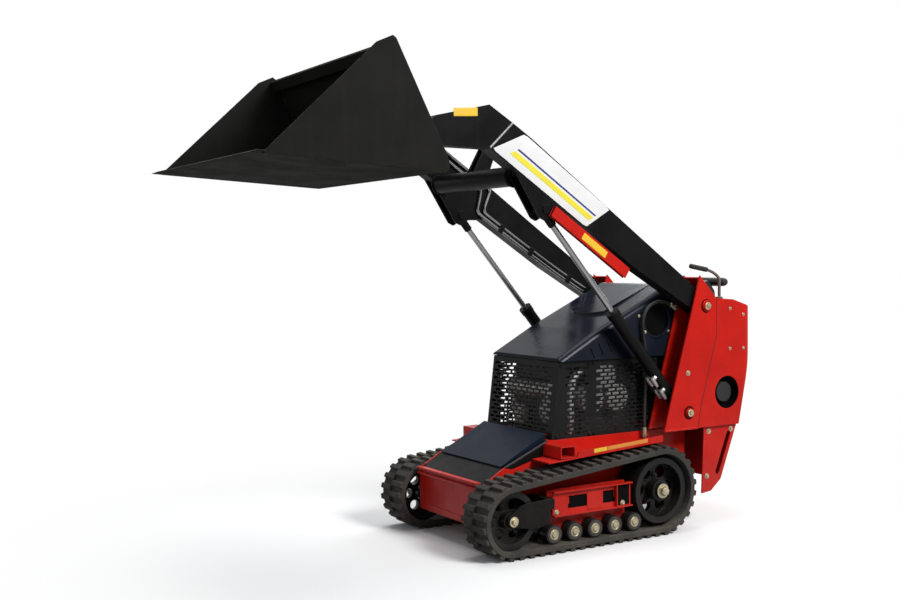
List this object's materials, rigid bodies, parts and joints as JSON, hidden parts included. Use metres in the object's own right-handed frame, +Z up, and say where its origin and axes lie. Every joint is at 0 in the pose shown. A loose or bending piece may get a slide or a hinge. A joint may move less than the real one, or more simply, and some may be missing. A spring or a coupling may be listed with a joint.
{
  "type": "compact tracked loader",
  "caption": "Walk-behind tracked loader with rubber tracks, sloped engine hood, rear tower, raised lift arms with hydraulic cylinders and a tilting bucket.",
  "frame": {"origin": "on the ground under the middle of the machine as it stands with the bucket raised", "axes": "+X forward to the bucket, +Y to the left track, +Z up"},
  "size_m": [2.5742, 1.1, 2.026],
  "materials": {
    "red_paint": "gloss red paint",
    "black_paint": "satin black paint",
    "wheel_black": "black painted wheels",
    "bucket_steel": "worn charcoal paint",
    "zinc_plate": "yellow zinc plate",
    "chrome_rod": "hard chrome",
    "hood_plastic": "gloss black moulding",
    "panel_plastic": "matt black plastic",
    "pad_foam": "black foam skin",
    "screen_steel": "black perforated steel",
    "engine_cast": "dark cast alloy",
    "lever_steel": "bright lever, black grip",
    "track_rubber": "dusty dark rubber"
  },
  "bodies": {
    "root": {"chassis_frame": "red_paint", "front_plate": "red_paint", "step_cover": "black_paint", "cross_tube": "red_paint", "fender_left": "red_paint", "fender_right": "red_paint", "tower_left": "red_paint", "tower_right": "red_paint", "bulkhead": "black_paint", "rear_body": "red_paint", "fuel_tank": "panel_plastic", "rear_guard": "red_paint", "control_console": "panel_plastic", "control_lever": "lever_steel", "thigh_pad": "pad_foam", "engine_block": "engine_cast", "front_screen": "screen_steel", "side_screen_left": "screen_steel", "side_screen_right": "screen_steel", "track_left": "track_rubber", "track_right": "track_rubber", "drive_wheel_left": "wheel_black", "drive_wheel_right": "wheel_black", "idler_left": "wheel_black", "idler_right": "wheel_black", "idler_fork_left": "black_paint", "idler_fork_right": "black_paint", "rollers_left": "wheel_black", "rollers_right": "wheel_black", "track_guide_left": "red_paint", "track_guide_right": "red_paint", "tower_pins": "red_paint"},
    "arm": {"arm_left": "black_paint", "arm_right": "black_paint", "gooseneck_left": "black_paint", "gooseneck_right": "black_paint", "crossmember": "black_paint", "cylinder_lock": "red_paint", "arm_tubes": "chrome_rod", "hinge_pins": "zinc_plate"},
    "bucket": {"hitch_plate": "black_paint", "bucket": "bucket_steel", "cutting_edge": "bucket_steel"},
    "hood": {"hood": "hood_plastic"},
    "lift_barrel_left": {"lift_barrel_left": "black_paint"},
    "lift_barrel_right": {"lift_barrel_right": "black_paint"},
    "lift_rod_left": {"lift_rod_left": "chrome_rod"},
    "lift_rod_right": {"lift_rod_right": "chrome_rod"},
    "tilt_barrel": {"tilt_barrel": "black_paint"},
    "tilt_rod": {"tilt_rod": "chrome_rod"}
  },
  "joints": [
    {"name": "arm_lift", "type": "hinge", "parent": "root", "child": "arm", "pos_m": [-0.96712, 0, 1], "axis": [0, -1, 0], "range_deg": [-56, 0]},
    {"name": "bucket_tilt", "type": "hinge", "parent": "arm", "child": "bucket", "pos_m": [0.52012, 0, 1.69177], "axis": [0, -1, 0], "range_deg": [-45, 75]},
    {"name": "hood_open", "type": "hinge", "parent": "root", "child": "hood", "pos_m": [-0.88512, 0, 1.088], "axis": [0, -1, 0], "range_deg": [0, 50]},
    {"name": "lift_swing_left", "type": "hinge", "parent": "root", "child": "lift_barrel_left", "pos_m": [-0.86212, 0.325, 0.522], "axis": [0, -1, 0], "range_deg": [-48.83, 0]},
    {"name": "lift_extend_left", "type": "slide", "parent": "lift_barrel_left", "child": "lift_rod_left", "axis": [0.6529, 0, 0.7575], "range_m": [-0.4727, 0]},
    {"name": "lift_swing_right", "type": "hinge", "parent": "root", "child": "lift_barrel_right", "pos_m": [-0.86212, -0.325, 0.522], "axis": [0, -1, 0], "range_deg": [-48.83, 0]},
    {"name": "lift_extend_right", "type": "slide", "parent": "lift_barrel_right", "child": "lift_rod_right", "axis": [0.6529, 0, 0.7575], "range_m": [-0.4727, 0]},
    {"name": "tilt_swing", "type": "hinge", "parent": "arm", "child": "tilt_barrel", "pos_m": [-0.04697, 0, 1.72056], "axis": [0, -1, 0], "range_deg": [-1.57, 2.49]},
    {"name": "tilt_extend", "type": "slide", "parent": "tilt_barrel", "child": "tilt_rod", "axis": [0.9808, 0, 0.195], "range_m": [-0.1722, 0.1041]}
  ],
  "couplings": [
    {"joint": "lift_swing_left", "follows": "arm_lift", "ratio": 0.863},
    {"joint": "lift_extend_left", "follows": "arm_lift", "m_per_rad": 0.4816},
    {"joint": "lift_swing_right", "follows": "arm_lift", "ratio": 0.863},
    {"joint": "lift_extend_right", "follows": "arm_lift", "m_per_rad": 0.4816},
    {"joint": "tilt_swing", "follows": "bucket_tilt", "ratio": 0.0305},
    {"joint": "tilt_extend", "follows": "bucket_tilt", "m_per_rad": -0.13}
  ]
}
